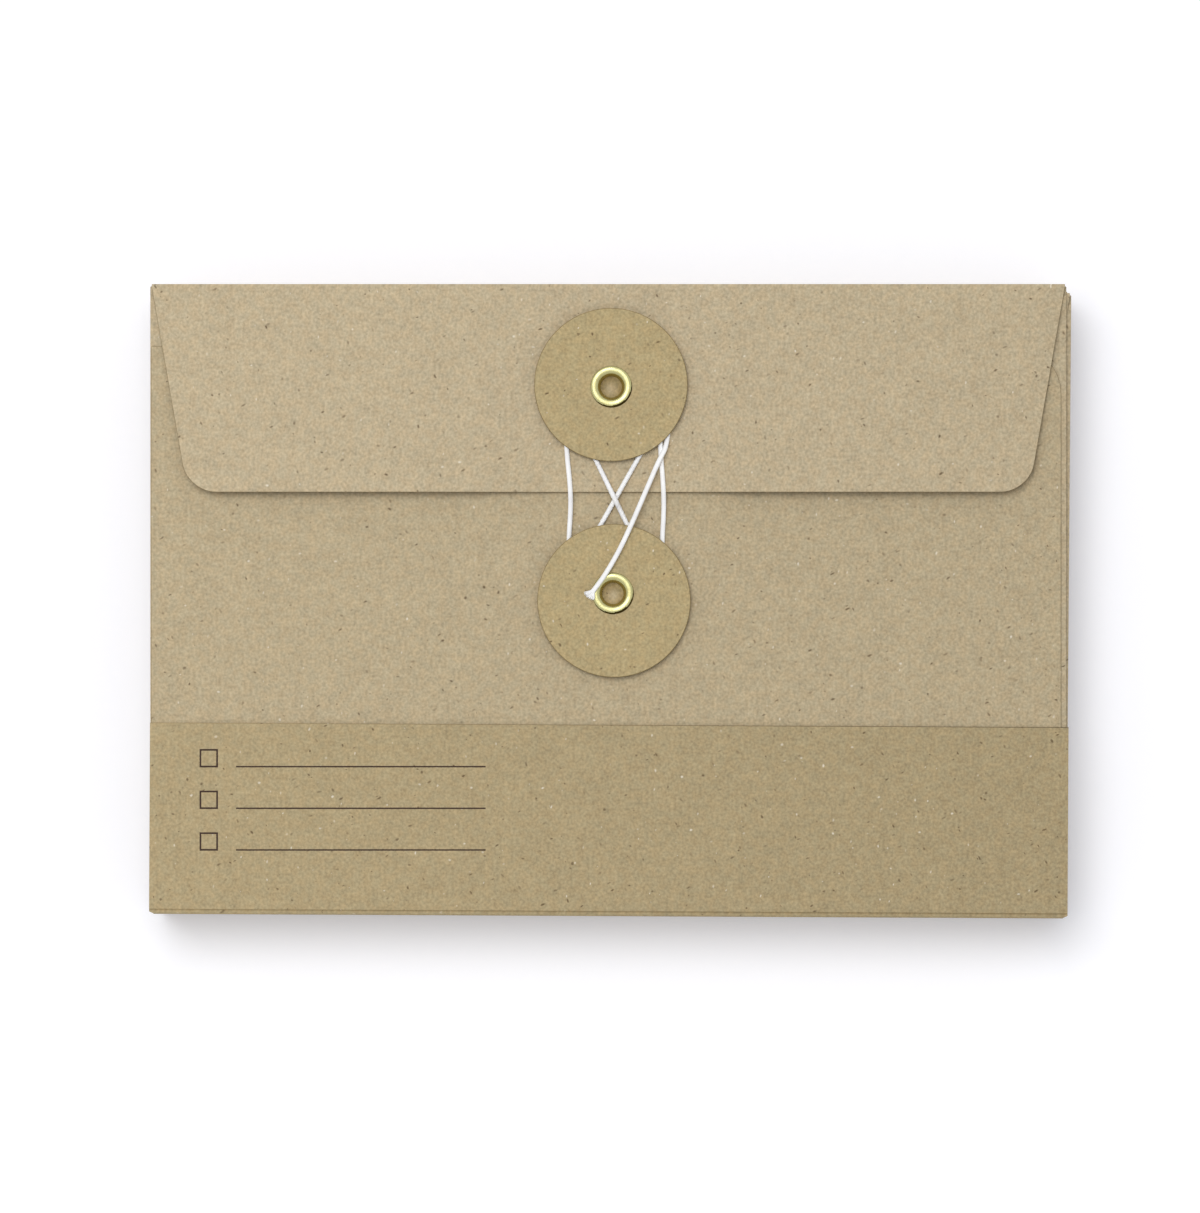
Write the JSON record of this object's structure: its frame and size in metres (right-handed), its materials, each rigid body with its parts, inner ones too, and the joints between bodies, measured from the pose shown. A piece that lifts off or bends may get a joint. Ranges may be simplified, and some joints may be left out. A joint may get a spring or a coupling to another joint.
{
  "type": "string tie envelope pack",
  "caption": "Kraft paper envelopes with riveted button discs and wound cotton string, stacked flat and held at the foot by a folded paper band.",
  "frame": {"origin": "middle of the pack's outline, on the surface that its back lies on", "axes": "+X along the flap fold to the reader's right, +Y from the banded foot to the flap fold, +Z out of the front face with the buttons"},
  "size_m": [0.1772, 0.1218, 0.0231],
  "materials": {
    "kraft_paper": "matte",
    "band_paper": "matte",
    "disc_board": "matte",
    "eyelet_brass": "polished",
    "cotton_string": "matte"
  },
  "bodies": {
    "band": {"band": "band_paper"},
    "envelope_1": {"back_sheet_1": "kraft_paper", "front_sheet_1": "kraft_paper", "fold_tabs_1": "kraft_paper", "lower_eyelet_1": "eyelet_brass"},
    "front_flap": {"flap_1": "kraft_paper", "upper_eyelet_1": "eyelet_brass", "string_1": "cotton_string"},
    "upper_disc": {"upper_disc_1": "disc_board"},
    "lower_disc": {"lower_disc_1": "disc_board"},
    "envelope_2": {"back_sheet_2": "kraft_paper", "front_sheet_2": "kraft_paper", "fold_tabs_2": "kraft_paper", "flap_2": "kraft_paper", "string_2": "cotton_string", "discs_2": "disc_board", "eyelets_2": "eyelet_brass"},
    "envelope_3": {"back_sheet_3": "kraft_paper", "front_sheet_3": "kraft_paper", "fold_tabs_3": "kraft_paper", "flap_3": "kraft_paper", "string_3": "cotton_string", "discs_3": "disc_board", "eyelets_3": "eyelet_brass"},
    "envelope_4": {"back_sheet_4": "kraft_paper", "front_sheet_4": "kraft_paper", "fold_tabs_4": "kraft_paper", "flap_4": "kraft_paper", "string_4": "cotton_string", "discs_4": "disc_board", "eyelets_4": "eyelet_brass"},
    "envelope_5": {"back_sheet_5": "kraft_paper", "front_sheet_5": "kraft_paper", "fold_tabs_5": "kraft_paper", "flap_5": "kraft_paper", "string_5": "cotton_string", "discs_5": "disc_board", "eyelets_5": "eyelet_brass"},
    "envelope_6": {"back_sheet_6": "kraft_paper", "front_sheet_6": "kraft_paper", "fold_tabs_6": "kraft_paper", "flap_6": "kraft_paper", "string_6": "cotton_string", "discs_6": "disc_board", "eyelets_6": "eyelet_brass"},
    "envelope_7": {"back_sheet_7": "kraft_paper", "front_sheet_7": "kraft_paper", "fold_tabs_7": "kraft_paper", "flap_7": "kraft_paper", "string_7": "cotton_string", "discs_7": "disc_board", "eyelets_7": "eyelet_brass"},
    "envelope_8": {"back_sheet_8": "kraft_paper", "front_sheet_8": "kraft_paper", "fold_tabs_8": "kraft_paper", "flap_8": "kraft_paper", "string_8": "cotton_string", "discs_8": "disc_board", "eyelets_8": "eyelet_brass"}
  },
  "joints": [
    {"name": "envelope_1_pull", "type": "slide", "parent": "band", "child": "envelope_1", "axis": [0, 1, 0], "range_m": [0, 0.13]},
    {"name": "envelope_2_pull", "type": "slide", "parent": "band", "child": "envelope_2", "axis": [0, 1, 0], "range_m": [0, 0.13]},
    {"name": "envelope_3_pull", "type": "slide", "parent": "band", "child": "envelope_3", "axis": [0, 1, 0], "range_m": [0, 0.13]},
    {"name": "envelope_4_pull", "type": "slide", "parent": "band", "child": "envelope_4", "axis": [0, 1, 0], "range_m": [0, 0.13]},
    {"name": "envelope_5_pull", "type": "slide", "parent": "band", "child": "envelope_5", "axis": [0, 1, 0], "range_m": [0, 0.13]},
    {"name": "envelope_6_pull", "type": "slide", "parent": "band", "child": "envelope_6", "axis": [0, 1, 0], "range_m": [0, 0.13]},
    {"name": "envelope_7_pull", "type": "slide", "parent": "band", "child": "envelope_7", "axis": [0, 1, 0], "range_m": [0, 0.13]},
    {"name": "envelope_8_pull", "type": "slide", "parent": "band", "child": "envelope_8", "axis": [0, 1, 0], "range_m": [0, 0.13]},
    {"name": "flap_fold", "type": "hinge", "parent": "envelope_1", "child": "front_flap", "pos_m": [-0.0005, 0.06035, 0.02019], "axis": [-1, 0, 0], "range_deg": [0, 178], "deforming": ["string_1"]},
    {"name": "upper_disc_spin", "type": "hinge", "parent": "front_flap", "child": "upper_disc", "pos_m": [0.00006, 0.04105, 0.02174], "axis": [0, 0, 1], "continuous": true},
    {"name": "lower_disc_spin", "type": "hinge", "parent": "envelope_1", "child": "lower_disc", "pos_m": [0.00038, 0.00141, 0.02134], "axis": [0, 0, 1], "continuous": true}
  ]
}
